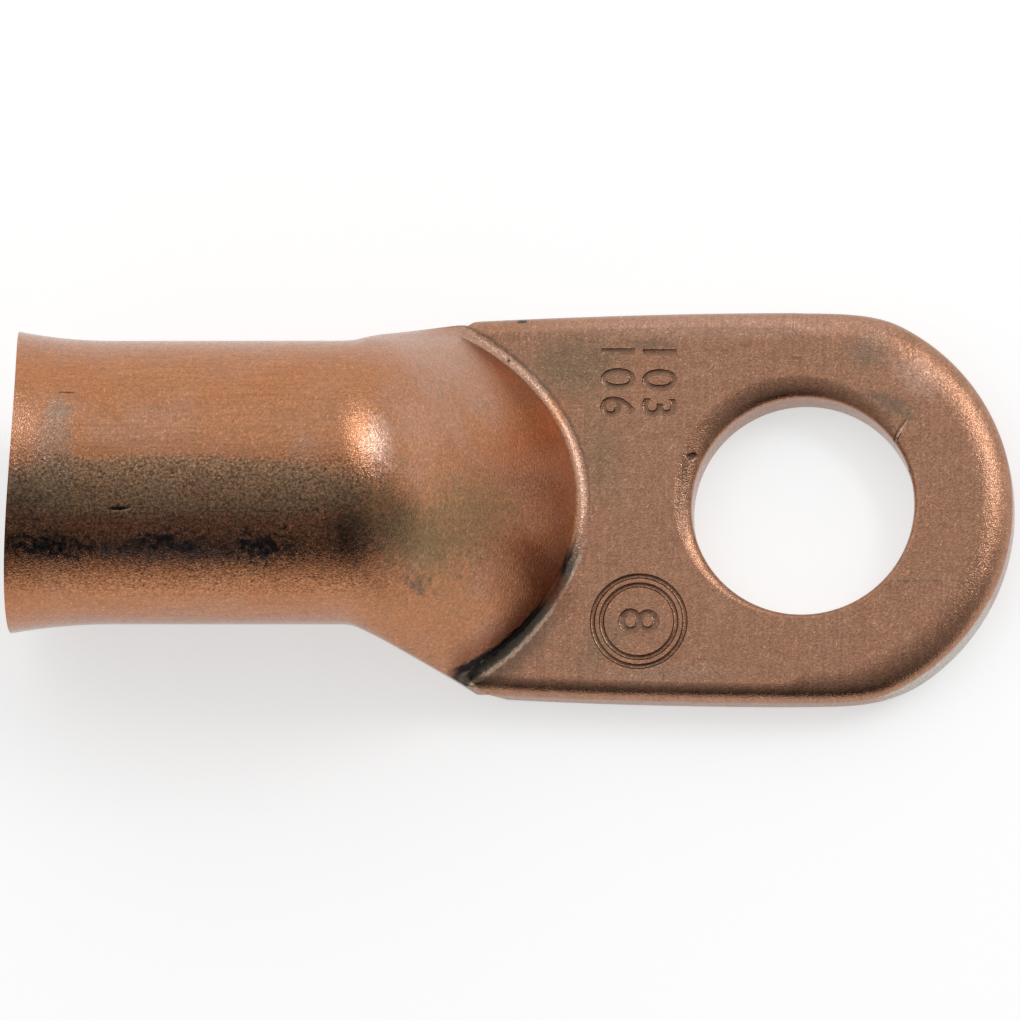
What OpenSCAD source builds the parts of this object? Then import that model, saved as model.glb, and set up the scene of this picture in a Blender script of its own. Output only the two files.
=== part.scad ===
// Closed-barrel copper cable lug: one seamless tube, bell-mouthed at the cable end
// and pressed flat into a drilled palm at the other.
// Millimetres. The origin is the centre of the stud hole on the palm's underside,
// +Z points up through the palm and the barrel runs towards -X.

/* [Barrel] */
// Diameter of the bore that takes the stripped conductor
cable_bore_d = 10.6; // [9:0.1:11.4]
// Thickness of the tube's wall
wall = 1.24; // [1.05:0.05:1.6]
// Length of the round barrel, from the mouth to the shoulder
barrel_l = 15.1; // [10:0.25:25]
// Length of the bell mouth
flare_l = 4.5; // [2:0.25:6]
// How much the bell mouth adds to the barrel's radius
flare_rise = 0.42; // [0.2:0.02:0.8]
// Height of the barrel's outer skin above the palm's underside, at its lowest
barrel_lift = 0.42; // [0.2:0.02:0.8]
// Angle by which the mouth is sawn out of square, in degrees
mouth_skew = 1.5; // [0.5:0.1:3]

/* [Palm] */
// Diameter of the stud hole
stud_hole_d = 10.3; // [8:0.1:11.5]
// Width of the palm at the stud hole
palm_w = 18.48; // [18:0.1:21]
// Thickness of the pressed palm
palm_t = 2.4; // [2.2:0.1:3]
// Distance from the stud hole to the middle of the crease
palm_l = 9.9; // [9:0.1:14]
// How much further than half its width the palm's round end reaches
end_reach = 0.45; // [0.3:0.05:0.8]
// How much each long side bows in between the stud hole and the shoulder
side_bow = 0.45; // [0.25:0.05:0.8]
// Radius along the palm's long sides
side_r = 0.84; // [0.5:0.02:0.95]
// Radius rolled over the upper lip of the stud hole
lip_r = 0.85; // [0.3:0.05:1]
// Radius rolled over the upper edge of the round end
end_r = 0.9; // [0.4:0.05:1]

/* [Shoulder] */
// Length of the shoulder along its top, from the barrel to the middle of the crease
shoulder_l = 11.1; // [9:0.1:15]
// How far the crease's ends lie behind its middle
crease_sag = 5.8; // [4:0.1:7]
// Share of the shoulder's top that bends over before it runs straight
top_bend = 0.45; // [0.25:0.05:0.6]
// Share of the shoulder's flanks that bends out before it runs straight
flank_bend = 0.1; // [0.05:0.05:0.4]
// Share of the shoulder's flanks that bends down before it runs straight
flank_drop = 0.4; // [0.1:0.05:0.6]
// How far below the palm's face the flanks run out
flank_low = 0.5; // [0.3:0.05:0.9]
// Width of the flat strip along the crease, at its middle
strip_mid_w = 0.4; // [0.2:0.05:0.8]
// Width of the flat strip along the crease, at its ends
strip_end_w = 0.8; // [0.4:0.05:1.2]
// Slope of the strip, in degrees
strip_slope = 22; // [15:1:35]
// Length over which the shoulder's rounded lower edges run out along the palm
side_blend = 2.9; // [1.5:0.1:4]
// How far the palm's rear corners stand out past the flanks
corner_step = 0.22; // [0.1:0.02:0.4]
// How much is taken off the palm's rear corners
corner_cut = 0.45; // [0.3:0.05:0.7]

/* [Hidden] */

// Fineness of the round forms and of the formed shoulder
$fn = 96;
skin_n = 72;
skin_rows = 16;
cavity_n = 48;
cavity_rows = 12;
// Depth that joined solids share
bite = 0.3;
// Inset that keeps the edges of joined solids apart
inset = 0.02;
// Half the height of the slit that is left where the tube is pressed shut
slit = 0.05;
// How much thicker the shoulder's wall is when it is measured straight up
slope_wall = 1.6;
// How deep a rolled edge starts below its face, as a share of its radius
roll_drop = 0.97;
// Length that is sawn off beyond the mouth
saw_spare = 0.5;

// Barrel
bore_r = cable_bore_d / 2;
barrel_r = bore_r + wall;
mouth_r = barrel_r + flare_rise;
axis_z = barrel_lift + barrel_r;
flare_arc = (flare_l * flare_l + flare_rise * flare_rise) / (2 * flare_rise);

// Stations along the lug
crease_x = -palm_l;
shoulder_x = crease_x - shoulder_l;
mouth_x = shoulder_x - barrel_l;
corner_x = crease_x - crease_sag;
floor_x = corner_x + side_blend;
floor_done = (corner_x - shoulder_x) / (floor_x - shoulder_x);

// Palm
half_w = palm_w / 2;
root_hw = half_w - side_bow;
end_x = half_w + end_reach;
side_arc = (corner_x * corner_x + side_bow * side_bow) / (2 * side_bow);

// The crease is part of an ellipse that is a quarter wider than the shoulder's foot
foot_hw = root_hw - corner_step;
floor_hw = half_w - side_bow * pow(floor_x / corner_x, 2) - 2 * inset;
crease_wide = 1.25;
crease_depth = crease_sag / (1 - sqrt(1 - 1 / (crease_wide * crease_wide)));

function mix(a, b, t) = a + (b - a) * t;

// Share of the whole move that is done at u, bending over the first part `bend`
// and straight from there on
function eased(u, bend) =
    (u < bend ? u * u / (2 * bend) : u - bend / 2) / (1 - bend / 2);

// X of the crease at a distance y from the middle line
function crease_at(y) =
    crease_x - crease_depth * (1 - sqrt(max(0, 1 - pow(y / (foot_hw * crease_wide), 2))));

// How far the rounded side has dropped from the palm's face at a distance y
function side_drop(y) =
    let (over = min(side_r, max(0, abs(y) - root_hw + side_r)))
    side_r - sqrt(side_r * side_r - over * over);

// Point of the palm's section, [half width, height], a share t of the way down its
// side, round its lower edge and along its underside to the middle
function edge_point(t, hw) =
    let (
        down = palm_t - flank_low - side_r,
        turn = side_r * PI / 2,
        way = t * (down + turn + hw - side_r),
        angle = (way - down) / turn * 90
    )
    way < down ? [hw, palm_t - flank_low - way] :
    angle < 90 ? [hw - side_r * (1 - cos(angle)), side_r * (1 - sin(angle))] :
    [hw - side_r - way + down + turn, 0];

// Width of the strip along the crease, in the direction `a` round the tube: it runs
// out to nothing on the flanks
function strip_w(a) = mix(strip_end_w, strip_mid_w, sin(a)) * min(1, 2.5 * sin(a));

// Where the tube's skin leaves the barrel, in the direction `a` round the tube
function tube_point(a, r, x) = [x, r * cos(a), axis_z + r * sin(a)];

// Where the skin meets the palm, `up` above its face (or inside it, if negative)
function foot_point(a, up) =
    let (
        y = foot_hw * cos(a),
        k = pow(1 - abs(sin(a)), 1.5),
        low = edge_point(1 - abs(a - 270) / 90, mix(floor_hw, foot_hw, k))
    )
    sin(a) > 0.01 ? [crease_at(y), y, palm_t - side_drop(y) + up] :
    sin(a) > -0.01 ? [corner_x, y, palm_t - flank_low] :
    [mix(floor_x, corner_x, k), sign(cos(a)) * low.x, low.y + inset];

// Top of the strip: back from the crease and up the strip's slope
function strip_point(a) =
    let (
        w = sin(a) > 0.01 ? strip_w(a) : 0,
        start = tube_point(a, barrel_r, shoulder_x),
        foot = foot_point(a, w * tan(strip_slope)),
        run = norm([foot.x - start.x, foot.y - start.y]),
        t = 1 - w / run
    )
    [mix(start.x, foot.x, t), mix(start.y, foot.y, t), foot.z];

// Point of the outer skin, `u` of the way from the barrel to the strip
function skin_point(a, u) =
    let (
        s = abs(sin(a)),
        start = tube_point(a, barrel_r - inset, shoulder_x),
        foot = strip_point(a),
        t = sin(a) > -0.01 ? u : min(1, u / mix(1, floor_done, s)),
        out = eased(t, mix(flank_bend, top_bend, s)),
        down = eased(t, mix(flank_drop, top_bend, s))
    )
    [mix(start.x, foot.x, u), mix(start.y, foot.y, out), mix(start.z, foot.z, down)];

// Last ring of the skin, buried in the palm
function buried_point(a) =
    let (foot = foot_point(a, -bite * tan(strip_slope)))
    [foot.x + bite, foot.y, foot.z];

// Point of the outer skin at a given x
function skin_at(a, x) =
    skin_point(a, (x - shoulder_x) / (strip_point(a).x - shoulder_x));

// Point of the cavity under the shoulder: a wall's thickness inside the skin, and
// pressed to a slit where the upper and lower walls meet
function cavity_point(a, t) =
    let (
        over = a > 180 ? 360 - a : a,
        x = mix(shoulder_x, strip_point(over).x - wall * 0.6, t),
        upper = skin_at(over, x),
        lower = skin_at(360 - over, x),
        skin = a > 180 ? lower : upper,
        half_skin = mix(barrel_r, foot_hw, min(1, (x - shoulder_x) / (corner_x - shoulder_x))),
        room = (upper.z - lower.z) / 2 - wall * sin(over) * mix(1, slope_wall, t),
        rise = max(slit * sin(over), room - inset)
    )
    [x, skin.y * (1 - (wall + inset) / half_skin), (upper.z + lower.z) / 2 + (a > 180 ? -rise : rise)];

// Closed skin over rings of points: each ring runs once round the tube, from the
// +Y flank over the top, and the last ring is closed from its top to its underside
module ring_skin(rings) {
    n = len(rings[0]);
    last = (len(rings) - 1) * n;
    sides = [
        for (j = [0 : len(rings) - 2], i = [0 : n - 1])
        let (a = j * n + i, b = j * n + (i + 1) % n)
        each [[a, a + n, b + n], [a, b + n, b]]
    ];
    start = [[for (i = [0 : n - 1]) i]];
    finish = [
        for (i = [0 : n / 2 - 1])
        let (a = last + i, b = last + i + 1, c = last + n - i - 1, d = last + (n - i) % n)
        each [
            if (i < n / 2 - 1) [a, c, b],
            if (i > 0) [a, d, c]
        ]
    ];
    polyhedron(points = [for (r = rings) each r], faces = concat(start, sides, finish));
}

// What is cut off a corner to leave it rounded: the corner lies at the origin and
// the solid fills the third quadrant
module roll_cut(r) {
    difference() {
        translate([-r, -r * roll_drop])
            square([2 * r, 2 * r]);
        translate([-r, -r * roll_drop])
            circle(r);
    }
}

// Solid turned about the barrel's axis, from a profile of [radius, distance from the mouth]
module turned_on_barrel() {
    translate([mouth_x, 0, axis_z])
        rotate([0, 90, 0])
            rotate_extrude()
                children();
}

// Half section of the tube's outside or of its bore, with the bell mouth's arc
module bell_profile(r, length) {
    difference() {
        translate([0, -saw_spare])
            square([r + flare_rise * 1.5, flare_l + saw_spare]);
        translate([barrel_r + flare_arc, flare_l])
            circle(barrel_r + flare_arc - r, $fn = 720);
    }
    translate([0, flare_l])
        square([r, length - flare_l]);
}

// Outside of the round barrel
module barrel() {
    turned_on_barrel()
        bell_profile(barrel_r, barrel_l);
}

// Outside of the formed shoulder
module shoulder() {
    angles = [for (i = [0 : skin_n - 1]) i * 360 / skin_n];
    root = [for (a = angles) tube_point(a, barrel_r - inset, shoulder_x - bite)];
    rows = [for (j = [0 : skin_rows]) [for (a = angles) skin_point(a, j / skin_rows)]];
    ring_skin(concat([root], rows, [[for (a = angles) buried_point(a)]]));
}

// Disc whose rim makes one long side of the palm
module side_disc() {
    translate([0, half_w - side_arc, 0])
        rotate_extrude($fn = 720) {
            square([side_arc - side_r, palm_t]);
            translate([0, side_r])
                square([side_arc, palm_t - 2 * side_r]);
            for (z = [side_r, palm_t - side_r])
                translate([side_arc - side_r, z])
                    circle(side_r);
        }
}

// Round end of the palm and the stretch behind it, back to the cut corners
module palm_plan() {
    rotate_extrude()
        difference() {
            square([end_x, palm_t]);
            translate([end_x, palm_t])
                roll_cut(end_r);
        }
    intersection() {
        linear_extrude(palm_t)
            polygon([
                [0, half_w + inset],
                [corner_x + corner_cut * 2, half_w + inset],
                [corner_x - bite, root_hw - corner_cut],
                [corner_x - bite, corner_cut - root_hw],
                [corner_x + corner_cut * 2, -half_w - inset],
                [0, -half_w - inset]
            ]);
        rotate([90, 0, 0])
            linear_extrude(2 * palm_w, center = true)
                polygon([[0, 0], [0, palm_t], [corner_x - 2 * bite, palm_t], [floor_x - bite, 0]]);
    }
}

// The pressed palm, before it is drilled
module palm() {
    intersection() {
        palm_plan();
        side_disc();
        mirror([0, 1, 0])
            side_disc();
    }
}

// Bore for the conductor, bell mouth included
module cable_bore() {
    turned_on_barrel()
        bell_profile(bore_r, barrel_l);
}

// What is left of the tube's inside under the shoulder
module cavity() {
    angles = [for (i = [0 : cavity_n - 1]) i * 360 / cavity_n];
    root = [for (a = angles) tube_point(a, bore_r - inset, shoulder_x - bite)];
    rows = [for (j = [0 : cavity_rows]) [for (a = angles) cavity_point(a, j / cavity_rows)]];
    ring_skin(concat([root], rows));
}

// What the saw takes off at the mouth
module mouth_saw() {
    translate([mouth_x, 0, axis_z])
        rotate([0, 0, -mouth_skew])
            translate([-2 * saw_spare - mouth_r, -2 * mouth_r, -2 * mouth_r])
                cube([2 * saw_spare + mouth_r, 4 * mouth_r, 4 * mouth_r]);
}

// Stud hole with its rolled upper lip
module stud_hole() {
    translate([0, 0, -1])
        cylinder(d = stud_hole_d, h = palm_t + 2);
    rotate_extrude()
        translate([stud_hole_d / 2, palm_t])
            mirror([1, 0])
                roll_cut(lip_r);
}

module cable_lug() {
    color("#b4714c")
        difference() {
            union() {
                barrel();
                shoulder();
                palm();
            }
            mouth_saw();
            cable_bore();
            cavity();
            stud_hole();
        }
}

cable_lug();
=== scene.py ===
import math

import bmesh
import bpy
from mathutils import Matrix, Vector


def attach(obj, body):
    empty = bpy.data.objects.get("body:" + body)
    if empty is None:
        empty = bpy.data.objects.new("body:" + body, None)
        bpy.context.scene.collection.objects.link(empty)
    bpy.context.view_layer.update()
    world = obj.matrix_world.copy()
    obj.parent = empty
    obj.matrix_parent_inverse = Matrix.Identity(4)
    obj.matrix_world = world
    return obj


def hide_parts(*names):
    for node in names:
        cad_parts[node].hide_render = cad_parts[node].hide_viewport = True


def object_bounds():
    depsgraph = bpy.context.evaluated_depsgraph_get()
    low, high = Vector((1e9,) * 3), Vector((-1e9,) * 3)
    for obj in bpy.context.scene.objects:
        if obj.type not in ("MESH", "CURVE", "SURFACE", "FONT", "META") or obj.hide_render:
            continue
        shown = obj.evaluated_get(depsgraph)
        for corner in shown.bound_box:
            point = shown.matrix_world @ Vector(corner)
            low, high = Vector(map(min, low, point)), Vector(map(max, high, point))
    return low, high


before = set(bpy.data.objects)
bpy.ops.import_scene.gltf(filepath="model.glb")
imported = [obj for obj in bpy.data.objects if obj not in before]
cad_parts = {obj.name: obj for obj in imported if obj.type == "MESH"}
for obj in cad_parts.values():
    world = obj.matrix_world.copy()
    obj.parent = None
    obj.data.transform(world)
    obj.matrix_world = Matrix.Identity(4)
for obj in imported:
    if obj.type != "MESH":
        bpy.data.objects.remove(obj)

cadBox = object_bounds()
mm = 0.001


def deselectAll():
    bpy.ops.object.select_all(action="DESELECT")


def pickOnly(obj):
    deselectAll()
    obj.select_set(True)
    bpy.context.view_layer.objects.active = obj


def mix(a, b, t):
    return a + (b - a) * t


# the lug's own sizes, in millimetres and degrees
lug = {
    "barrelR": 6.54, "boreR": 5.3, "barrelL": 15.1, "axisZ": 6.96,
    "flareL": 4.5, "flareRise": 0.42, "mouthSkew": 1.5, "mouthBack": 0.28, "rimR": 0.14,
    "holeR": 5.15, "lipWide": 1.5, "lipDeep": 0.6, "lipLeast": 0.3, "lipToward": 128.0,
    "halfW": 9.24, "palmT": 2.4, "endX": 9.69, "sideBow": 0.45, "sideR": 0.84,
    "endWide": 1.7, "endDeep": 1.0, "endBlend": 0.6,
    "cornerX": -15.7, "floorX": -12.8, "cornerStep": 0.22, "cornerCut": 0.45,
    "creaseX": -9.9, "creaseSag": 5.8, "creaseWide": 1.25,
    "shoulderX": -21.0, "topBend": 0.45, "flankBend": 0.1, "flankDrop": 0.4, "flankLow": 0.5,
    "floorDone": 0.646, "stripMid": 0.4, "stripEnd": 0.8, "stripSlope": 22.0,
    "wall": 1.24, "slit": 0.05, "slopeWall": 1.6,
    "creaseSkew": 0.035, "skewReach": 6.0, "bite": 0.3, "inset": 0.02,
    "lipTurn": 76.0, "holeOver": 0.3, "holeSpread": 1.012, "mouthOver": 0.4, "rearOver": 1.5, "joinX": 0.6,
    # how finely each part is drawn
    "around": 192, "rimRows": 4, "bellRows": 14, "tubeRows": 8, "shoulderRows": 56, "boreRows": 10, "cavityRows": 24,
    "lipRows": 11, "sideRows": 30, "endRows": 72, "lowStep": 10, "highStep": 6,
}
nearLevel = 0.01  # sine of an angle that counts as level with the tube's axis
mouthX = lug["shoulderX"] - lug["barrelL"]
rootHw = lug["halfW"] - lug["sideBow"]
footHw = rootHw - lug["cornerStep"]
floorHw = lug["halfW"] - lug["sideBow"] * (lug["floorX"] / lug["cornerX"]) ** 2 - 2 * lug["inset"]
creaseDepth = lug["creaseSag"] / (1 - math.sqrt(1 - 1 / lug["creaseWide"] ** 2))
flareArc = (lug["flareL"] ** 2 + lug["flareRise"] ** 2) / (2 * lug["flareRise"])
sideArc = (lug["cornerX"] ** 2 + lug["sideBow"] ** 2) / (2 * lug["sideBow"])
stripTan = math.tan(math.radians(lug["stripSlope"]))


# runs from 0 to 1: gathers speed over the first part, bend, and goes on straight
def eased(u, bend):
    return (u * u / (2 * bend) if u < bend else u - bend / 2) / (1 - bend / 2)


# x of the crease on the palm at a place across it
def creaseAt(y):
    return lug["creaseX"] - creaseDepth * (1 - math.sqrt(max(0, 1 - (y / (footHw * lug["creaseWide"])) ** 2)))


# how far the rounded long edge lies below the palm's flat
def sideDrop(y):
    r = lug["sideR"]
    over = min(r, max(0, abs(y) - rootHw + r))
    return r - math.sqrt(r * r - over * over)


# point of the palm's section: down its side, round the lower edge, along the underside
def edgePoint(t, hw):
    r = lug["sideR"]
    down = lug["palmT"] - lug["flankLow"] - r
    turn = r * math.pi / 2
    way = t * (down + turn + hw - r)
    if way < down:
        return hw, lug["palmT"] - lug["flankLow"] - way
    angle = (way - down) / r
    if angle < math.pi / 2:
        return hw - r * (1 - math.cos(angle)), r * (1 - math.sin(angle))
    return hw - r - way + down + turn, 0


def tubePoint(a, r, x):
    return Vector((x, r * math.cos(a), lug["axisZ"] + r * math.sin(a)))


# where the pressed skin meets the palm, in the direction a round the tube
def footPoint(a, up):
    s = math.sin(a)
    y = footHw * math.cos(a)
    k = (1 - abs(s)) ** 1.5
    if s > nearLevel:
        return Vector((creaseAt(y), y, lug["palmT"] - sideDrop(y) + up))
    if s > -nearLevel:
        return Vector((lug["cornerX"], y, lug["palmT"] - lug["flankLow"]))
    low = edgePoint(1 - abs(math.degrees(a) - 270) / 90, mix(floorHw, footHw, k))
    return Vector((mix(lug["floorX"], lug["cornerX"], k), math.copysign(low[0], math.cos(a)), low[1] + lug["inset"]))


# upper edge of the narrow pressed strip, just inside the foot
def stripPoint(a):
    s = math.sin(a)
    w = mix(lug["stripEnd"], lug["stripMid"], s) * min(1, 3 * s) if s > nearLevel else 0
    start = tubePoint(a, lug["barrelR"], lug["shoulderX"])
    foot = footPoint(a, w * stripTan)
    t = 1 - w / math.hypot(foot.x - start.x, foot.y - start.y)
    return Vector((mix(start.x, foot.x, t), mix(start.y, foot.y, t), foot.z))


# outside of the shoulder: u runs from the tube at 0 to the strip at 1
def skinPoint(a, u):
    s = abs(math.sin(a))
    start = tubePoint(a, lug["barrelR"], lug["shoulderX"])
    foot = stripPoint(a)
    t = u if math.sin(a) > -nearLevel else min(1, u / mix(1, lug["floorDone"], s))
    out = eased(t, mix(lug["flankBend"], lug["topBend"], s))
    down = eased(t, mix(lug["flankDrop"], lug["topBend"], s))
    return Vector((mix(start.x, foot.x, u), mix(start.y, foot.y, out), mix(start.z, foot.z, down)))


# the same, found by its x
def skinAt(a, x):
    return skinPoint(a, (x - lug["shoulderX"]) / (stripPoint(a).x - lug["shoulderX"]))


# inside of the shoulder, a wall's thickness in from the skin, down to a slit
def cavityPoint(a, t):
    over = 2 * math.pi - a if a > math.pi else a
    x = mix(lug["shoulderX"], stripPoint(over).x - lug["wall"] * 0.6, t)
    upper, lower = skinAt(over, x), skinAt(2 * math.pi - over, x)
    skin = lower if a > math.pi else upper
    span = min(1, (x - lug["shoulderX"]) / (lug["cornerX"] - lug["shoulderX"]))
    halfSkin = mix(lug["barrelR"], footHw, span)
    room = (upper.z - lower.z) / 2 - lug["wall"] * math.sin(over) * mix(1, lug["slopeWall"], t)
    rise = max(lug["slit"] * math.sin(over), room - lug["inset"])
    middle = (upper.z + lower.z) / 2
    y = skin.y * (1 - (lug["wall"] + lug["inset"]) / halfSkin)
    return Vector((x, y, middle - rise if a > math.pi else middle + rise))


# radius of the barrel's outside (r = barrelR) or bore (r = boreR) at a distance from the mouth
def bellR(r, d):
    over = max(0, lug["flareL"] - d)
    arc = flareArc + lug["barrelR"] - r
    return r + arc - math.sqrt(arc * arc - over * over)


# draws a tube out of one circle, ring after ring, and closes both ends
def drawRings(name, rings, pairEnd=False):
    count = len(rings[0])
    deselectAll()
    bpy.ops.mesh.primitive_circle_add(vertices=count, radius=0.01)
    obj = bpy.context.object
    obj.name = name
    bpy.ops.object.mode_set(mode="EDIT")
    shape = bmesh.from_edit_mesh(obj.data)
    slots = {v.index: i for i, v in enumerate(shape.verts)}
    for step, ring in enumerate(rings):
        if step:
            bpy.ops.mesh.extrude_edges_move()
            shape = bmesh.from_edit_mesh(obj.data)
            shape.verts.index_update()
            fresh = {}
            for v in shape.verts:
                if v.select:
                    ends = [e.other_vert(v) for e in v.link_edges]
                    fresh[v.index] = next(slots[end.index] for end in ends if not end.select)
            slots = fresh
        shape.verts.ensure_lookup_table()
        for index, slot in slots.items():
            shape.verts[index].co = ring[slot] * mm
        if step == 0:
            first = dict(slots)
    last = {slot: shape.verts[index] for index, slot in slots.items()}
    start = {slot: shape.verts[index] for index, slot in first.items()}
    shape.faces.new([start[i] for i in range(count)])
    if pairEnd:
        for i in range(count // 2):
            corners = [last[i], last[i + 1], last[count - i - 1], last[(count - i) % count]]
            shape.faces.new(list(dict.fromkeys(corners)))
    else:
        shape.faces.new([last[i] for i in range(count)])
    bmesh.update_edit_mesh(obj.data)
    bpy.ops.mesh.select_all(action="SELECT")
    bpy.ops.mesh.remove_doubles(threshold=2e-7)
    bpy.ops.mesh.normals_make_consistent(inside=False)
    bpy.ops.object.mode_set(mode="OBJECT")
    return obj


# takes the other body away from this one, or joins it on, and uses it up
def cutOrJoin(obj, other, operation):
    pickOnly(obj)
    step = obj.modifiers.new(operation.lower(), "BOOLEAN")
    step.operation = operation
    step.solver = "EXACT"
    step.object = other
    bpy.ops.object.modifier_apply(modifier=step.name)
    bpy.data.objects.remove(other)
    bpy.ops.object.mode_set(mode="EDIT")
    bpy.ops.mesh.select_all(action="SELECT")
    bpy.ops.mesh.fill_holes(sides=0)  # hairline slits where two skins nearly touch
    bpy.ops.object.mode_set(mode="OBJECT")
    return obj


angles = [2 * math.pi * i / lug["around"] for i in range(lug["around"])]


# the mouth is cut a little askew, and its upper edge stands back
def skewed(point, d):
    share = max(0, 1 - d / lug["flareL"])
    above = max(0, point.z - lug["axisZ"]) / lug["barrelR"]
    side = point.y / lug["barrelR"]
    point.x += point.y * math.tan(math.radians(lug["mouthSkew"])) * share
    point.x += lug["mouthBack"] * above * above * max(0, 1 + 0.6 * side) * share
    return point


# barrel and shoulder, outside
def outerSkin():
    rings = []
    rim = lug["rimR"]
    for step in range(lug["rimRows"] + 1):  # rounded edge of the mouth
        turn = math.radians(90 * step / lug["rimRows"])
        d = rim * (1 - math.sin(turn))
        r = bellR(lug["barrelR"], d) - rim * (1 - math.cos(math.radians(90) - turn))
        rings.append([skewed(tubePoint(a, r, mouthX + d), d) for a in angles])
    for step in range(1, lug["bellRows"] + 1):
        d = rim + (lug["flareL"] - rim) * step / lug["bellRows"]
        rings.append([skewed(tubePoint(a, bellR(lug["barrelR"], d), mouthX + d), d) for a in angles])
    for step in range(1, lug["tubeRows"]):
        d = mix(lug["flareL"], lug["barrelL"], step / lug["tubeRows"])
        rings.append([tubePoint(a, lug["barrelR"], mouthX + d) for a in angles])
    for row in range(lug["shoulderRows"] + 1):
        rings.append([skinPoint(a, row / lug["shoulderRows"]) for a in angles])
    bite = lug["bite"]
    rings.append([footPoint(a, -bite * stripTan) + Vector((bite, 0, 0)) for a in angles])
    return drawRings("lug", rings, pairEnd=True)


# bore, cavity under the shoulder, and the slit it closes to
def innerSkin():
    rim = lug["rimR"]
    mouthR = bellR(lug["boreR"], 0)
    rings = [[skewed(tubePoint(a, mouthR + rim, mouthX - lug["mouthOver"]), 0) for a in angles]]
    for step in range(lug["rimRows"] + 1):
        turn = math.radians(90 * step / lug["rimRows"])
        d = rim * math.sin(turn) - lug["inset"]
        rings.append([skewed(tubePoint(a, mouthR + rim * (1 - math.sin(turn)), mouthX + d), 0) for a in angles])
    for step in range(1, lug["boreRows"] + 1):
        d = rim + (lug["flareL"] - rim) * step / lug["boreRows"]
        rings.append([skewed(tubePoint(a, bellR(lug["boreR"], d), mouthX + d), d) for a in angles])
    boreEnd = mix(mouthX + lug["flareL"], lug["shoulderX"], 0.9)
    rings.append([tubePoint(a, lug["boreR"], boreEnd) for a in angles])
    for row in range(lug["cavityRows"] + 1):
        rings.append([cavityPoint(a, row / lug["cavityRows"]) for a in angles])
    return drawRings("cavity", rings, pairEnd=True)


# the palm is drawn up from its underside, outline by outline
def palmOutline(z):
    sideIn = 0
    r = lug["sideR"]
    for edge in (r - z, z - lug["palmT"] + r):
        if edge > 0:
            sideIn = r - math.sqrt(max(0, r * r - edge * edge))
    endIn = 0
    over = (z - lug["palmT"]) / lug["endDeep"] + 1
    if over > 0:
        endIn = lug["endWide"] * (1 - math.sqrt(max(0, 1 - over * over)))
    endR = lug["endX"] - endIn

    def sideY(x):
        return lug["halfW"] - sideArc + math.sqrt((sideArc - sideIn) ** 2 - x * x)

    def outlineY(x):  # long side and round end, run smoothly into each other
        side, end = sideY(x), math.sqrt(max(0, endR * endR - max(0, x) ** 2))
        if x <= 0:
            return side
        k = lug["endBlend"]
        share = min(1, max(0, 0.5 + 0.5 * (end - side) / k))
        return end * (1 - share) + side * share - k * share * (1 - share)

    rearX, joinX = lug["cornerX"] - lug["rearOver"], lug["joinX"]
    along = [mix(rearX, joinX, t / lug["sideRows"]) for t in range(lug["sideRows"])]
    joinTurn = math.asin(joinX / endR)
    along += [endR * math.sin(mix(joinTurn, math.pi / 2, t / lug["endRows"])) for t in range(lug["endRows"])]
    half = [(x, outlineY(x)) for x in along]
    points = half + [(endR, 0)] + [(x, -y) for x, y in reversed(half)]
    return [Vector((x, y, z)) for x, y in points]


# the whole palm, with its rear corners and the slant under the shoulder cut off
def palmBlank():
    low = [lug["sideR"] * (1 - math.sin(math.radians(90 - a))) for a in range(0, 91, lug["lowStep"])]
    high = [lug["palmT"] - lug["endDeep"] * (1 - math.sin(math.radians(a))) for a in range(0, 91, lug["highStep"])]
    levels = sorted(set(round(z, 5) for z in low + high))
    palm = drawRings("palm", [palmOutline(z) for z in levels])
    bpy.ops.object.mode_set(mode="EDIT")
    spare = lug["bite"]
    cornerX, cornerY = lug["cornerX"] - spare, rootHw - lug["cornerCut"]
    runX, runY = 2 * lug["cornerCut"] + spare, lug["halfW"] + lug["inset"] - cornerY
    cuts = [(Vector((cornerX, side * cornerY, 0)), Vector((-runY, side * runX, 0))) for side in (1, -1)]
    slant = Vector((lug["floorX"] - spare, 0, 0)) - Vector((lug["cornerX"] - 2 * spare, 0, lug["palmT"]))
    cuts.append((Vector((lug["floorX"] - spare, 0, 0)), Vector((slant.z, 0, -slant.x))))
    for place, normal in cuts:
        bpy.ops.mesh.select_all(action="SELECT")
        bpy.ops.mesh.bisect(plane_co=place * mm, plane_no=normal, use_fill=True, clear_outer=True)
    bpy.ops.mesh.select_all(action="SELECT")
    bpy.ops.mesh.normals_make_consistent(inside=False)
    bpy.ops.object.mode_set(mode="OBJECT")
    return palm


# the hole's lip is rolled well over on one side and hardly at all on the other
def holeCutter():
    r, top = lug["holeR"], lug["palmT"]
    rings = [[Vector((r * math.cos(a), r * math.sin(a), -1.0)) for a in angles]]
    least = lug["lipLeast"]
    for step in range(lug["lipRows"] + 1):
        turn = math.radians(lug["lipTurn"] * step / lug["lipRows"])
        ring = []
        for a in angles:
            share = 0.5 + 0.5 * math.cos(a - math.radians(lug["lipToward"]))
            wide = mix(least, lug["lipWide"], eased(share, 0.5))
            deep = mix(least, lug["lipDeep"], eased(share, 0.5))
            rr = r + wide * (1 - math.cos(turn))
            ring.append(Vector((rr * math.cos(a), rr * math.sin(a), top + deep * (math.sin(turn) - 0.97))))
        rings.append(ring)
    spread, above = lug["holeSpread"], top + lug["holeOver"]
    rings.append([Vector((v.x * spread, v.y * spread, above)) for v in rings[-1]])
    return drawRings("hole", rings)


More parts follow.
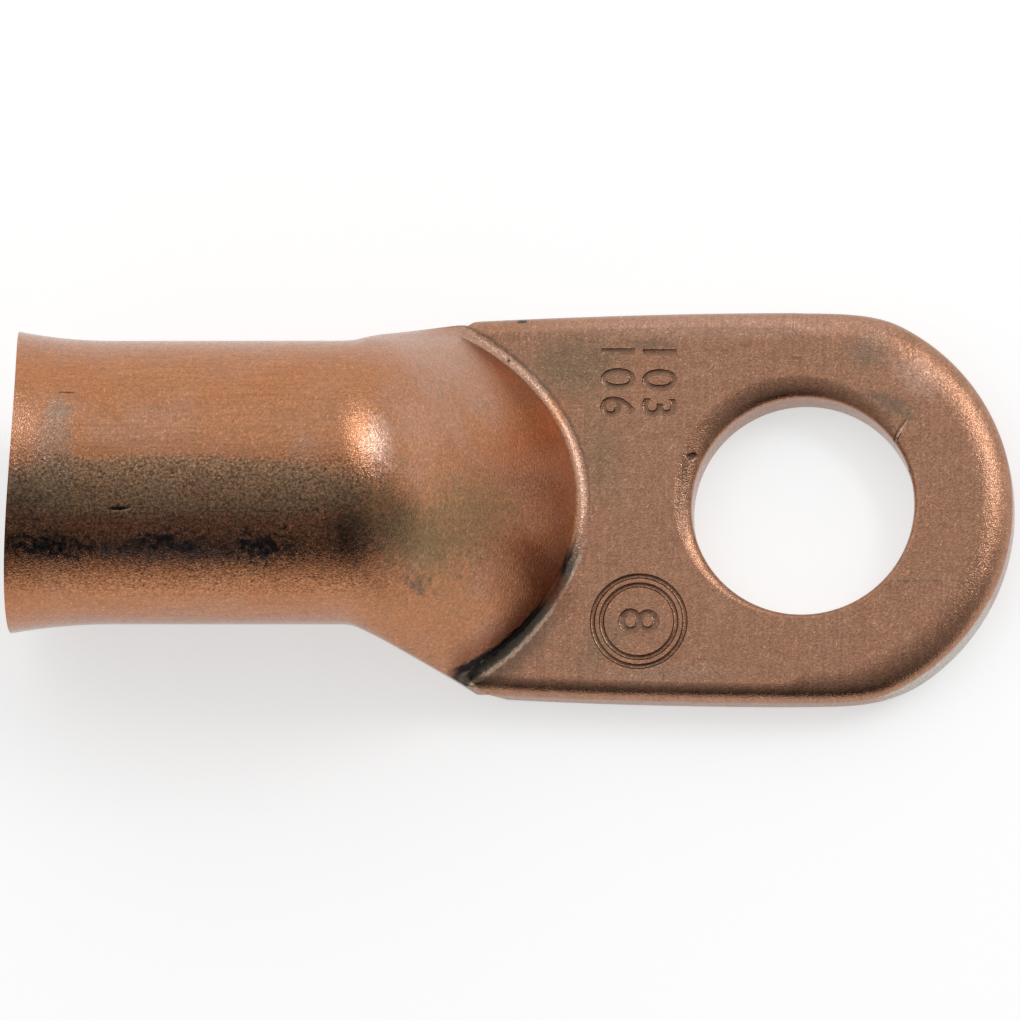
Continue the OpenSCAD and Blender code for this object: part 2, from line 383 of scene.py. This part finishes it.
# the press closed a little askew, so one end of the crease lies further along than the other
def skewCrease(obj):
    for v in obj.data.vertices:
        x = v.co.x / mm
        near = 1 - min(1, abs(x - lug["cornerX"]) / lug["skewReach"])
        v.co.x -= v.co.y * lug["creaseSkew"] * near * near * (3 - 2 * near)


print("modelling the lug")
body = outerSkin()
cutOrJoin(body, palmBlank(), "UNION")
cutOrJoin(body, innerSkin(), "DIFFERENCE")
skewCrease(body)
cutOrJoin(body, holeCutter(), "DIFFERENCE")
print("lug faces", len(body.data.polygons))


# stamped marks on the palm, in millimetres: plain numbers, and a ring round a number
stamps = {
    "sizeText": ["106", "103"], "sizeAt": [(-8.62, 5.75), (-6.7, 5.75)], "sizeHigh": 1.6,
    "ringText": "8", "ringAt": (-7.5, -5.53), "ringTextHigh": 1.9, "ringOuter": 2.14, "ringInner": 1.72,
    "deep": 0.12, "slope": 0.07, "thin": 0.03, "line": 0.13, "lean": 2.0,
}
digitShare = 0.73  # a digit's height as a share of the text size


# cutter for plain numbers: slanting sides, and a level floor at the full depth
def pressText(words, at, high):
    deselectAll()
    bpy.ops.object.text_add(location=(0, 0, 0))
    text = bpy.context.object
    text.data.body = words
    text.data.align_x = "CENTER"
    text.data.align_y = "CENTER"
    text.data.size = high / digitShare * mm
    text.data.extrude = stamps["deep"] * 2 * mm
    text.data.bevel_depth = stamps["slope"] * mm
    text.data.offset = -stamps["thin"] * mm
    text.data.bevel_resolution = 1
    text.data.resolution_u = 6
    text.data.space_character = 1.2
    bpy.ops.object.convert(target="MESH")
    text.rotation_euler = (math.radians(stamps["lean"]), 0, math.radians(-90))
    bpy.ops.object.transform_apply(location=False, rotation=True, scale=True)
    low = [min(v.co[i] for v in text.data.vertices) for i in range(3)]
    top = [max(v.co[i] for v in text.data.vertices) for i in range(3)]
    text.location = (at[0] * mm - (low[0] + top[0]) / 2, at[1] * mm - (low[1] + top[1]) / 2,
                     (lug["palmT"] - stamps["deep"]) * mm - low[2])
    bpy.ops.object.transform_apply(location=True, rotation=False, scale=False)
    bpy.ops.object.mode_set(mode="EDIT")
    bpy.ops.mesh.select_all(action="SELECT")
    bpy.ops.mesh.remove_doubles(threshold=1e-6)
    bpy.ops.mesh.normals_make_consistent(inside=False)
    bpy.ops.object.mode_set(mode="OBJECT")
    return text


# cutter for one ring, a round groove
def pressRing(radius):
    deselectAll()
    x, y = stamps["ringAt"]
    bpy.ops.mesh.primitive_torus_add(
        location=(x * mm, y * mm, (lug["palmT"] + stamps["line"] * 0.25) * mm), major_radius=radius * mm,
        minor_radius=stamps["line"] * mm, major_segments=96, minor_segments=16)
    return bpy.context.object


for words, at in zip(stamps["sizeText"], stamps["sizeAt"]):
    cutOrJoin(body, pressText(words, at, stamps["sizeHigh"]), "DIFFERENCE")
cutOrJoin(body, pressText(stamps["ringText"], stamps["ringAt"], stamps["ringTextHigh"]), "DIFFERENCE")
for radius in (stamps["ringOuter"], stamps["ringInner"]):
    cutOrJoin(body, pressRing(radius), "DIFFERENCE")

pickOnly(body)
bpy.ops.object.shade_smooth_by_angle(angle=math.radians(35))
even = body.modifiers.new("evenNormals", "WEIGHTED_NORMAL")
even.keep_sharp = True
bpy.ops.object.modifier_apply(modifier=even.name)
body.data.name = "lug"
print("stamped, faces", len(body.data.polygons))


# steps that the shader trees share
def feed(tree, socket, value):
    if isinstance(value, bpy.types.NodeSocket):
        tree.links.new(value, socket)
    else:
        socket.default_value = value


def put(tree, kind, sockets=None, **settings):
    made = tree.nodes.new(kind)
    for key, value in settings.items():
        setattr(made, key, value)
    for key, value in (sockets or {}).items():
        feed(tree, made.inputs[key], value)
    return made


def calc(tree, operation, a, b=0.0, c=0.0, clamp=False):
    return put(tree, "ShaderNodeMath", {0: a, 1: b, 2: c}, operation=operation, use_clamp=clamp).outputs[0]


def times(tree, first, *others):
    for other in others:
        first = calc(tree, "MULTIPLY", first, other)
    return first


def addTo(tree, base, value, share):
    return calc(tree, "MULTIPLY_ADD", value, share, base)


def lessHalf(tree, value):
    return calc(tree, "SUBTRACT", value, 0.5)


def vec(tree, operation, a, b=(0, 0, 0), out=0):
    return put(tree, "ShaderNodeVectorMath", {0: a, 1: b}, operation=operation).outputs[out]


def ramp(tree, value, low, high, toLow=0.0, toHigh=1.0, kind="SMOOTHSTEP"):
    sockets = {0: value, 1: low, 2: high, 3: toLow, 4: toHigh}
    return put(tree, "ShaderNodeMapRange", sockets, interpolation_type=kind).outputs[0]


def blendColour(tree, share, a, b, mode="MIX"):
    sockets = {0: share, 6: a, 7: b}
    return put(tree, "ShaderNodeMix", sockets, data_type="RGBA", blend_type=mode).outputs[2]


def tinted(tree, share, colour, tint):
    return blendColour(tree, share, colour, (*tint, 1))


def noise(tree, where, scale, detail, rough=0.5):
    sockets = {"Vector": where, "Scale": scale, "Detail": detail, "Roughness": rough}
    return put(tree, "ShaderNodeTexNoise", sockets).outputs[0]


def startGroup(name, ins, outs):
    group = bpy.data.node_groups.new(name, "ShaderNodeTree")
    for label, kind, value in ins:
        made = group.interface.new_socket(name=label, in_out="INPUT", socket_type=kind)
        if value is not None:
            made.default_value = value
    for label, kind in outs:
        group.interface.new_socket(name=label, in_out="OUTPUT", socket_type=kind)
    return group, group.nodes.new("NodeGroupInput").outputs, group.nodes.new("NodeGroupOutput").inputs


def useGroup(tree, group, sockets):
    return put(tree, "ShaderNodeGroup", sockets, node_tree=group).outputs


number, vector = "NodeSocketFloat", "NodeSocketVector"


# soft-edged patch seen from above: its share inside, 0 outside, its rim broken up by the cloud value
def makePatchGroup():
    group, ins, outs = startGroup("patch", [
        ("Where", vector, None), ("Cloud", number, 0.0), ("Centre", vector, (0, 0, 0)),
        ("Lengthways", vector, (1, 0, 0)), ("Sideways", vector, (0, 1, 0)), ("Inner", number, 0.5),
        ("Ragged", number, 0.3), ("Share", number, 1.0)], [("Mask", number)])
    moved = vec(group, "SUBTRACT", ins["Where"], ins["Centre"])
    x = vec(group, "DOT_PRODUCT", moved, ins["Lengthways"], out=1)
    y = vec(group, "DOT_PRODUCT", moved, ins["Sideways"], out=1)
    reach = calc(group, "SQRT", calc(group, "MULTIPLY_ADD", y, y, times(group, x, x)))
    reach = calc(group, "MULTIPLY_ADD", ins["Cloud"], ins["Ragged"], reach)
    group.links.new(ramp(group, reach, ins["Inner"], 1.0, ins["Share"], 0.0), outs["Mask"])
    return group


# fine lines left by brushing, drawn out along one axis
def makeBrushGroup():
    group, ins, outs = startGroup(
        "brush", [("Where", vector, None), ("Stretch", vector, (0.5, 12, 12))], [("Lines", number)])
    drawn = vec(group, "MULTIPLY", ins["Where"], ins["Stretch"])
    group.links.new(lessHalf(group, noise(group, drawn, 0.7, 2, 0.7)), outs["Lines"])
    return group


# sparse hairline scratches: thin level lines of a stretched noise, shown only in places
def makeScratchGroup():
    group, ins, outs = startGroup("scratch", [
        ("Where", vector, None), ("Scale", number, 2.0), ("Turn", number, 0.0), ("Thin", number, 0.01),
        ("Rare", number, 0.6)], [("Line", number)])
    turned = put(group, "ShaderNodeVectorRotate", {"Vector": ins["Where"], "Angle": ins["Turn"]},
                 rotation_type="Z_AXIS").outputs[0]
    field = noise(group, vec(group, "MULTIPLY", turned, (0.35, 1.6, 1.6)), ins["Scale"], 1)
    line = ramp(group, calc(group, "ABSOLUTE", lessHalf(group, field)), 0.0, ins["Thin"], 1.0, 0.0, "LINEAR")
    elsewhere = vec(group, "ADD", turned, (7.3, 1.7, 4.1))
    places = noise(group, elsewhere, times(group, ins["Scale"], 0.9), 0)
    shown = ramp(group, places, ins["Rare"], calc(group, "ADD", ins["Rare"], 0.05), kind="LINEAR")
    group.links.new(times(group, line, shown), outs["Line"])
    return group


patchGroup, brushGroup, scratchGroup = makePatchGroup(), makeBrushGroup(), makeScratchGroup()


# copper: colours are linear, scales are per millimetre, marks are in millimetres on the upper side
# the first is near-black painted into the barrel's dark reflection band; the second is for pits and scratches
paintedBandBlack, black = (0.03, 0.032, 0.04), (0.02, 0.02, 0.025)
grey, dusk = (0.31, 0.235, 0.19), (0.2, 0.145, 0.105)
copper = {
    "warm": (0.42, 0.19, 0.097), "pale": (0.425, 0.226, 0.148), "olive": (0.25, 0.165, 0.1),
    "palm": (0.37, 0.2, 0.13), "tube": (0.48, 0.19, 0.078), "cut": (0.5, 0.45, 0.4), "grime": (0.1, 0.065, 0.045),
    "paleShare": 0.55, "oliveShare": 0.5, "tubeShare": 0.4, "palmShare": 0.75, "cutShare": 0.75, "grimeShare": 0.55,
    "cloudScale": 0.42, "mottleScale": 1.7, "raggedScale": 3.0, "grainScale": 8.0, "reliefScale": 16.0,
    "alongStretch": (0.5, 12, 12), "acrossStretch": (11, 0.45, 2),
    "hairScale": 4.5, "hairTurn": 2.1, "hairThin": 0.03, "hairRare": 0.47,
    # how strongly each pattern shades the colour
    "grainTone": 1.1, "darkReflectionSpeckle": 2.6, "tubeAlong": 0.5, "palmAlong": 0.2, "acrossTone": 0.5, "mottleTone": 0.45,
    "hairTone": 0.5,
    # relief in metres, and its share for brushing across the palm
    "markHigh": 0.00012, "grainHigh": 0.00001, "palmGrain": 0.00002, "tubeGrain": 0.00002, "acrossHigh": 0.07,
    "rough": 0.15, "roughSpread": 0.3, "roughHair": -0.08, "roughLeast": 0.12,
    "cutAt": (6.6, -6.9), "cutTurn": 42, "cutLong": 4.2, "cutWide": 1.2, "cutSoft": 0.3, "cutRagged": 0.4,
    "creaseReach": 12.5, "creaseRagged": 0.5,
    "crease": [  # painted light and shade along the crease; across the strip: starts, full, still full, ends; then y where it starts and is full, colour, share
        # painted dark red-brown shade on the shoulder's lower side, beyond the strip
        (1.0, 1.15, 1.3, 3.4, -0.5, -3.5, (0.15, 0.045, 0.022), 0.7),
        # painted pale highlight on the strip's upper part
        (-0.05, 0.05, 0.95, 1.05, -3.0, 0.5, (0.44, 0.28, 0.21), 0.6),
        # painted dark shade on the strip's lower part
        (-0.05, 0.05, 0.95, 1.05, -1.0, -3.2, (0.075, 0.08, 0.065), 0.85),
        # painted black shade in the corner between shoulder and strip, lower side
        (0.65, 0.9, 1.15, 1.4, -1.4, -3.0, (0.008, 0.008, 0.01), 0.97),
        # painted thin highlight along the strip's foot, lower side
        (-0.22, -0.08, 0.08, 0.25, -1.0, -3.0, (0.45, 0.33, 0.25), 0.75),
        # painted dark shade on the palm beside the strip's lower end
        (-2.0, -0.4, -0.3, -0.2, -3.5, -6.5, (0.07, 0.07, 0.06), 0.55),
        # painted dark line on the palm beside the strip, upper side
        (-0.45, -0.15, -0.1, 0.02, 0.0, 3.0, (0.07, 0.055, 0.045), 0.5),
    ],
    "marks": [  # stains, dents and scratches, with some painted reflection, highlights and shade: x, y, turn, long, wide, soft, ragged, colour, share, depth
        (-33.75, -0.6, 0, 1.15, 3.9, 0.5, 0.3, (0.23, 0.18, 0.145), 0.4, 0),
        (-33.67, 2.0, 0, 0.9, 1.0, 0.8, 0.5, grey, 0.4, 0),
        # painted reflection of the dark screen along the barrel's lower side: olive, reddish and dark streaks, then
        # near-black spots
        (-28.0, -1.75, 0, 10.5, 1.7, 0.25, 0.2, (0.27, 0.195, 0.12), 0.6, 0),
        (-28.0, -3.15, 0, 10.5, 0.6, 0.7, 0.6, (0.3, 0.11, 0.07), 0.45, 0),
        (-28.3, -4.25, 0, 9.4, 0.8, 0.9, 0.5, (0.1, 0.08, 0.08), 0.75, 0),
        (-24.2, -4.1, 0, 1.7, 0.75, 1.0, 1.3, paintedBandBlack, 0.92, 0),
        (-28.9, -3.9, 0, 1.9, 0.65, 1.0, 1.3, paintedBandBlack, 0.85, 0),
        (-34.4, -4.15, 0, 2.9, 0.7, 1.0, 1.3, paintedBandBlack, 0.92, 0),
        (-35.2, -2.3, 0, 1.3, 1.7, 0.8, 0.6, (0.13, 0.095, 0.07), 0.5, 0),
        (-20.2, -3.5, 0, 1.6, 1.9, 0.9, 0.6, (0.09, 0.07, 0.055), 0.6, 0),
        (-17.3, -3.3, -12, 3.6, 2.2, 0.9, 0.5, (0.19, 0.135, 0.07), 0.82, 0),
        (-17.3, -5.2, 0, 0.8, 0.6, 0.9, 0.8, (0.1, 0.08, 0.06), 0.6, 0),
        (-14.6, -0.9, 10, 2.8, 1.5, 0.9, 0.5, (0.28, 0.18, 0.085), 0.5, 0),
        # painted highlight and its pale pink edge on the shoulder's bend
        (-18.9, 0.6, 0, 1.0, 1.9, 0.9, 0.5, (0.55, 0.36, 0.28), 0.7, 0),
        (-17.2, 1.6, 0, 1.6, 2.4, 0.9, 0.4, (0.5, 0.265, 0.18), 0.4, 0),
        (-30.75, -2.57, 3, 0.64, 0.14, 0.6, 0.3, black, 0.95, 0.3),
        (-33.25, 2.9, 0, 0.5, 0.07, 0.6, 0.5, black, 0.7, 0),
        (-14.9, -2.1, 20, 2.8, 1.8, 0.8, 0.4, (0.25, 0.155, 0.08), 0.7, 0),
        (-12.4, 3.0, 60, 3.2, 1.4, 0.8, 0.3, (0.43, 0.17, 0.072), 0.7, 0),
        # painted dark red-brown shade on the shoulder's lower side by the crease
        (-11.9, -3.6, -55, 2.4, 1.3, 0.8, 0.3, (0.2, 0.068, 0.032), 0.75, 0),
        (-10.6, 6.6, 0, 3.0, 2.2, 0.8, 0.3, (0.24, 0.165, 0.105), 0.8, 0),
        (-9.3, 2.2, 10, 1.4, 3.4, 0.9, 0.5, (0.27, 0.18, 0.11), 0.5, 0),
        (-9.2, -6.6, 50, 2.2, 1.1, 0.8, 0.4, (0.25, 0.165, 0.11), 0.6, 0),
        (-6.0, -8.0, 0, 5.0, 0.7, 0.9, 0.6, (0.33, 0.225, 0.165), 0.4, 0),
        # painted highlight along the upper rolled side edge
        (-4.0, 8.5, 0, 11, 0.95, 0.8, 0.15, (0.5, 0.3, 0.22), 0.6, 0),
        (3.0, 7.3, 15, 1.4, 1.2, 0.6, 0.4, (0.28, 0.2, 0.145), 0.5, 0),
        # painted glow on the rolled end above and right of the hole
        (5.2, 6.0, -35, 2.2, 1.1, 0.9, 0.4, (0.6, 0.36, 0.27), 0.65, 0),
        (4.1, 4.7, -25, 1.5, 0.6, 0.6, 0.6, dusk, 0.7, 0),
        (-7.2, 7.6, 0, 1.6, 0.35, 0.7, 0.7, dusk, 0.6, 0),
        (-5.17, 2.3, 20, 0.3, 0.2, 0.6, 0.5, black, 0.75, 0.5),
        (-0.43, 6.97, 0, 0.42, 0.05, 0.7, 0.3, dusk, 0.75, 0),
        (-0.3, 6.97, 85, 0.2, 0.05, 0.7, 0.3, dusk, 0.75, 0),
        (5.6, -3.62, 0, 1.9, 0.07, 0.8, 1.6, dusk, 0.65, 0),
        (4.4, 3.35, 60, 0.9, 0.14, 0.7, 0.3, (0.6, 0.4, 0.3), 0.8, 0.6),
        (4.15, 2.95, 60, 0.45, 0.07, 0.7, 0.3, black, 0.7, 0),
        (4.91, 1.58, 70, 0.18, 0.12, 0.6, 0.2, black, 0.95, 0.3),
        (-13.68, 6.78, 0, 0.1, 0.1, 0.5, 0.2, black, 0.9, 0),
        (-13.13, 8.73, 0, 0.34, 0.14, 0.5, 0.2, black, 0.9, 0),
        (-17.87, 3.39, 0, 0.05, 0.2, 0.7, 0.2, dusk, 0.75, 0),
    ],
}


def patchMask(tree, where, cloud, at, turn, long, wide, soft, ragged, share=1.0):
    turn = math.radians(turn)
    return useGroup(tree, patchGroup, {
        "Where": where, "Cloud": cloud, "Centre": (*at, 0),
        "Lengthways": (math.cos(turn) / long, math.sin(turn) / long, 0),
        "Sideways": (-math.sin(turn) / wide, math.cos(turn) / wide, 0),
        "Inner": 1.0 - soft, "Ragged": ragged * 3.0, "Share": share})["Mask"]


# runs across the pressed strip: 0 at its foot and 1 at its upper edge, where the shoulder begins
def makeAcross(tree, x, y):
    toCorner = calc(tree, "ABSOLUTE", calc(tree, "SUBTRACT", x, lug["cornerX"]))
    lean = ramp(tree, toCorner, lug["skewReach"], 0.0, 0.0, lug["creaseSkew"])
    straight = calc(tree, "MULTIPLY_ADD", y, lean, x)
    away = calc(tree, "DIVIDE", calc(tree, "SUBTRACT", straight, lug["creaseX"] - creaseDepth), creaseDepth)
    over = calc(tree, "DIVIDE", y, footHw * lug["creaseWide"])
    arc = calc(tree, "SQRT", calc(tree, "ADD", times(tree, away, away), times(tree, over, over)))
    side = calc(tree, "DIVIDE", y, footHw)
    rise = calc(tree, "SQRT", calc(tree, "SUBTRACT", 1.0, times(tree, side, side), clamp=True))
    wide = ramp(tree, rise, 0, 1, lug["stripEnd"], lug["stripMid"])
    wide = times(tree, wide, ramp(tree, rise, 0.05, 0.33, 0.15, 1))  # narrows to nothing at its ends
    inward = times(tree, calc(tree, "SUBTRACT", 1.0, arc), copper["creaseReach"])
    return calc(tree, "DIVIDE", inward, wide)


def makeCopper():
    material = bpy.data.materials.new("drawnCopper")
    material.use_nodes = True
    tree = material.node_tree
    shader = tree.nodes["Principled BSDF"]
    shader.inputs["Metallic"].default_value = 1.0
    coords = put(tree, "ShaderNodeTexCoord").outputs["Object"]
    where = put(tree, "ShaderNodeMapping", {"Vector": coords, "Scale": (1 / mm, 1 / mm, 1 / mm)}).outputs[0]
    x, y, z = put(tree, "ShaderNodeSeparateXYZ", {0: where}).outputs

    # the parts of the lug, as masks: each ramp runs between two places in millimetres
    palm = ramp(tree, z, 2.75, 2.45)
    upper = ramp(tree, calc(tree, "SUBTRACT", z, ramp(tree, x, -21, -14.5, 6.9, 1.2)), -0.2, 0.2)
    tube = times(tree, ramp(tree, x, -16, -21), ramp(tree, z, 4, 8))
    flank = ramp(tree, calc(tree, "ABSOLUTE", calc(tree, "ADD", y, 1.0)), 2.8, 4.2)
    cutFace = ramp(tree, z, 1.65, 1.5)
    nearStrip = times(tree, upper, ramp(tree, x, -16.5, -15.6))
    # where the barrel mirrors the dark screen; the grain tone is made stronger there, a painted speckle in that
    # reflection
    darkReflectionBand = times(tree, tube, ramp(tree, y, 0.1, -0.5), ramp(tree, y, -6.2, -5.4))
    stampPlace = times(tree, ramp(tree, x, -10.4, -10.2), ramp(tree, x, -5.2, -5.4),
                       ramp(tree, calc(tree, "ABSOLUTE", y), 8.3, 8.1))
    stamped = times(tree, stampPlace, ramp(tree, z, 2.385, 2.33), ramp(tree, z, 2.0, 2.05))

    # colour: warm copper, paler clouds, olive tarnish
    clouds = noise(tree, where, copper["cloudScale"], 2, 0.55)
    mottle = noise(tree, where, copper["mottleScale"], 3, 0.65)
    cloud = lessHalf(tree, noise(tree, where, copper["raggedScale"], 3, 0.65))
    grain = lessHalf(tree, noise(tree, where, copper["grainScale"], 2, 0.8))
    paler = ramp(tree, clouds, 0.42, 0.7, 0.0, copper["paleShare"])
    colour = blendColour(tree, paler, (*copper["warm"], 1), (*copper["pale"], 1))
    colour = tinted(tree, ramp(tree, mottle, 0.52, 0.8, 0.0, copper["oliveShare"]), colour, copper["olive"])
    colour = tinted(tree, times(tree, tube, flank, copper["tubeShare"]), colour, copper["tube"])
    colour = tinted(tree, times(tree, palm, copper["palmShare"]), colour, copper["palm"])
    cut = patchMask(tree, where, cloud, copper["cutAt"], copper["cutTurn"], copper["cutLong"], copper["cutWide"],
                    copper["cutSoft"], copper["cutRagged"])
    colour = tinted(tree, times(tree, cut, cutFace, copper["cutShare"]), colour, copper["cut"])
    t = addTo(tree, makeAcross(tree, x, y), cloud, copper["creaseRagged"])
    # painted highlights and shade along the crease, from the table above
    for start, full, fall, end, yFrom, yTo, tint, share in copper["crease"]:
        band = times(tree, ramp(tree, t, start, full), ramp(tree, t, end, fall), ramp(tree, y, yFrom, yTo))
        colour = tinted(tree, times(tree, band, nearStrip, share), colour, tint)
    colour = tinted(tree, times(tree, stamped, copper["grimeShare"]), colour, copper["grime"])
    marked, dents = colour, None
    for markX, markY, turn, long, wide, soft, ragged, tint, share, depth in copper["marks"]:
        patch = (markX, markY), turn, long, wide, soft, ragged
        marked = tinted(tree, patchMask(tree, where, cloud, *patch, share), marked, tint)
        if depth:
            dent = patchMask(tree, where, 0.0, *patch, depth)
            dents = calc(tree, "MAXIMUM", dents, dent) if dents else dent
    colour = blendColour(tree, upper, colour, marked)

    # fine lines and grain, as shades of the colour
    along = useGroup(tree, brushGroup, {"Where": where, "Stretch": copper["alongStretch"]})["Lines"]
    across = useGroup(tree, brushGroup, {"Where": where, "Stretch": copper["acrossStretch"]})["Lines"]
    hairs = useGroup(tree, scratchGroup, {
        "Where": where, "Scale": copper["hairScale"], "Turn": copper["hairTurn"], "Thin": copper["hairThin"],
        "Rare": copper["hairRare"]})["Line"]
    brushed = times(tree, across, palm, ramp(tree, clouds, 0.35, 0.6, 0.25, 1.0))
    tone = addTo(tree, 1.0, grain, copper["grainTone"])
    # painted speckle: stronger grain where the barrel mirrors the dark screen
    tone = addTo(tree, tone, times(tree, grain, darkReflectionBand), copper["darkReflectionSpeckle"])
    tone = addTo(tree, tone, along, ramp(tree, palm, 0, 1, copper["tubeAlong"], copper["palmAlong"]))
    tone = addTo(tree, tone, brushed, copper["acrossTone"])
    tone = addTo(tree, tone, times(tree, lessHalf(tree, mottle), palm), copper["mottleTone"])
    tone = addTo(tree, tone, hairs, copper["hairTone"])
    shade = put(tree, "ShaderNodeCombineColor", {0: tone, 1: tone, 2: tone}).outputs[0]
    feed(tree, shader.inputs["Base Color"], blendColour(tree, 1.0, colour, shade, "MULTIPLY"))

    # relief: grain everywhere, brushing across the palm, and the dents
    most = copper["markHigh"]
    coarse = ramp(tree, tube, 0, 1, copper["grainHigh"] / most, copper["tubeGrain"] / most)
    coarse = calc(tree, "MAXIMUM", coarse, times(tree, palm, copper["palmGrain"] / most))
    height = times(tree, noise(tree, where, copper["reliefScale"], 1, 0.75), coarse)
    height = calc(tree, "SUBTRACT", height, times(tree, dents, upper))
    height = addTo(tree, height, times(tree, across, palm), copper["acrossHigh"])
    bump = put(tree, "ShaderNodeBump", {"Strength": 1.0, "Distance": most, "Height": height})
    feed(tree, shader.inputs["Normal"], bump.outputs[0])
    rough = addTo(tree, copper["rough"], lessHalf(tree, mottle), copper["roughSpread"])
    rough = addTo(tree, rough, hairs, copper["roughHair"])
    feed(tree, shader.inputs["Roughness"], calc(tree, "MAXIMUM", rough, copper["roughLeast"]))
    return material


body.data.materials.clear()
body.data.materials.append(makeCopper())
body.name = "lug"
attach(body, "root")
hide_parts("cable_lug")
print("copper is on")


# floor, camera and lights, in metres, degrees and levels of light
studio = {
    "floorWide": 6, "floorColour": (0.55, 0.55, 0.55, 1), "floorLift": 0.58, "floorLeast": 0.08,
    "floorFade": (-0.03, -0.1), "skyLevel": 1.0,
    "keyFrom": (0.563, 0.4355, 0.7024), "keyAway": 0.8, "keySize": (0.46, 0.16), "keyPower": 1.15,
    "screenFrom": (0.15, -0.905, 0.4), "screenReach": 84, "screenR": 0.9, "screenFoot": 0.004,
    "screenLevels": [(0, 0.025), (16, 0.05), (24, 0.15), (43, 0.31), (63, 0.46), (74.5, 0.55), (77.5, 0.92), (84, 1.0)],
    "aim": (-0.01363, 0.00005, 0.00096), "right": (0.9977, 0.0149, -0.0663), "up": (0.0, 0.9757, 0.2198),
    "frameWide": 0.04716, "away": 1.6,
}


# pale floor that is lifted to white where it is seen, less so towards the dark side
def makeFloor():
    deselectAll()
    bpy.ops.mesh.primitive_plane_add(size=studio["floorWide"], location=(0, 0, cadBox[0].z))
    floor = bpy.context.object
    floor.name = "floor"
    material = bpy.data.materials.new("whiteTable")
    material.use_nodes = True
    tree = material.node_tree
    shader = tree.nodes["Principled BSDF"]
    shader.inputs["Base Color"].default_value = studio["floorColour"]
    shader.inputs["Roughness"].default_value = 0.9
    shader.inputs["Specular IOR Level"].default_value = 0.0
    shader.inputs["Emission Color"].default_value = (1, 1, 1, 1)
    path = put(tree, "ShaderNodeLightPath").outputs
    seen = calc(tree, "ADD", path["Is Camera Ray"], path["Is Glossy Ray"])
    seen = calc(tree, "ADD", seen, path["Is Transmission Ray"], clamp=True)
    table = put(tree, "ShaderNodeTexCoord").outputs["Object"]
    front = put(tree, "ShaderNodeSeparateXYZ", {0: table}).outputs[1]
    lift = ramp(tree, front, *studio["floorFade"], studio["floorLift"], studio["floorLeast"])
    feed(tree, shader.inputs["Emission Strength"], times(tree, seen, lift))
    floor.data.materials.append(material)
    return floor


# unlit side of the studio: a dark screen that fades out to the white of the room
def makeScreen():
    deselectAll()
    bpy.ops.mesh.primitive_uv_sphere_add(segments=64, ring_count=48, radius=studio["screenR"])
    screen = bpy.context.object
    screen.name = "darkScreen"
    bpy.ops.object.mode_set(mode="EDIT")
    bpy.ops.mesh.select_all(action="DESELECT")
    bpy.ops.object.mode_set(mode="OBJECT")
    toward = Vector(studio["screenFrom"]).normalized()
    limit = studio["screenR"] * math.cos(math.radians(studio["screenReach"]))
    for v in screen.data.vertices:
        v.select = v.co.dot(toward) < limit or v.co.z < studio["screenFoot"]
    bpy.ops.object.mode_set(mode="EDIT")
    bpy.ops.mesh.delete(type="VERT")
    bpy.ops.object.mode_set(mode="OBJECT")
    material = bpy.data.materials.new("darkScreen")
    material.use_nodes = True
    tree = material.node_tree
    tree.nodes.remove(tree.nodes["Principled BSDF"])
    coords = put(tree, "ShaderNodeTexCoord").outputs["Object"]
    way = vec(tree, "DOT_PRODUCT", vec(tree, "NORMALIZE", coords), tuple(toward), out=1)
    angle = calc(tree, "ARCCOSINE", way)
    share = calc(tree, "DIVIDE", angle, math.radians(studio["screenReach"]), clamp=True)
    levels = put(tree, "ShaderNodeValToRGB", {0: share})
    stops = levels.color_ramp.elements
    for place, level in studio["screenLevels"]:
        at = place / studio["screenReach"]
        stop = stops[0] if place == 0 else stops[-1] if at == 1 else stops.new(at)
        stop.color = (level, level, level, 1)
    glow = put(tree, "ShaderNodeEmission", {"Color": levels.outputs[0], "Strength": studio["skyLevel"]})
    feed(tree, tree.nodes["Material Output"].inputs[0], glow.outputs[0])
    screen.data.materials.append(material)
    material.cycles.emission_sampling = "NONE"  # large and soft, so bounced rays find it cheaply enough
    screen.visible_camera = False
    return screen


# soft oval lamp that faces the lug
def makeLamp(name, toward, away, sizes, power):
    deselectAll()
    toward = Vector(toward).normalized()
    bpy.ops.object.light_add(type="AREA", location=toward * away)
    lamp = bpy.context.object
    lamp.name = name
    lamp.data.shape = "ELLIPSE"
    lamp.data.size, lamp.data.size_y = sizes
    lamp.data.energy = power
    lamp.rotation_euler = toward.to_track_quat("Z", "Y").to_euler()
    return lamp


# far-off camera that looks down on the lug, a little from its barrel side
def makeCamera():
    deselectAll()
    right, up = Vector(studio["right"]).normalized(), Vector(studio["up"]).normalized()
    back = right.cross(up)
    turn = Matrix((right, up, back)).transposed()
    bpy.ops.object.camera_add(location=Vector(studio["aim"]) + back * studio["away"], rotation=turn.to_euler())
    camera = bpy.context.object
    camera.data.lens = camera.data.sensor_width * studio["away"] / studio["frameWide"]
    camera.data.clip_start, camera.data.clip_end = 0.05, 20
    bpy.context.scene.camera = camera
    return camera


makeFloor()
makeScreen()
makeLamp("keyLamp", studio["keyFrom"], studio["keyAway"], studio["keySize"], studio["keyPower"])
makeCamera()
world = bpy.data.worlds.new("studioWorld")
world.use_nodes = True
world.node_tree.nodes["Background"].inputs[0].default_value = (1, 1, 1, 1)
world.node_tree.nodes["Background"].inputs[1].default_value = studio["skyLevel"]
bpy.context.scene.world = world
bpy.context.scene.view_settings.view_transform = "Standard"
print("studio is set")
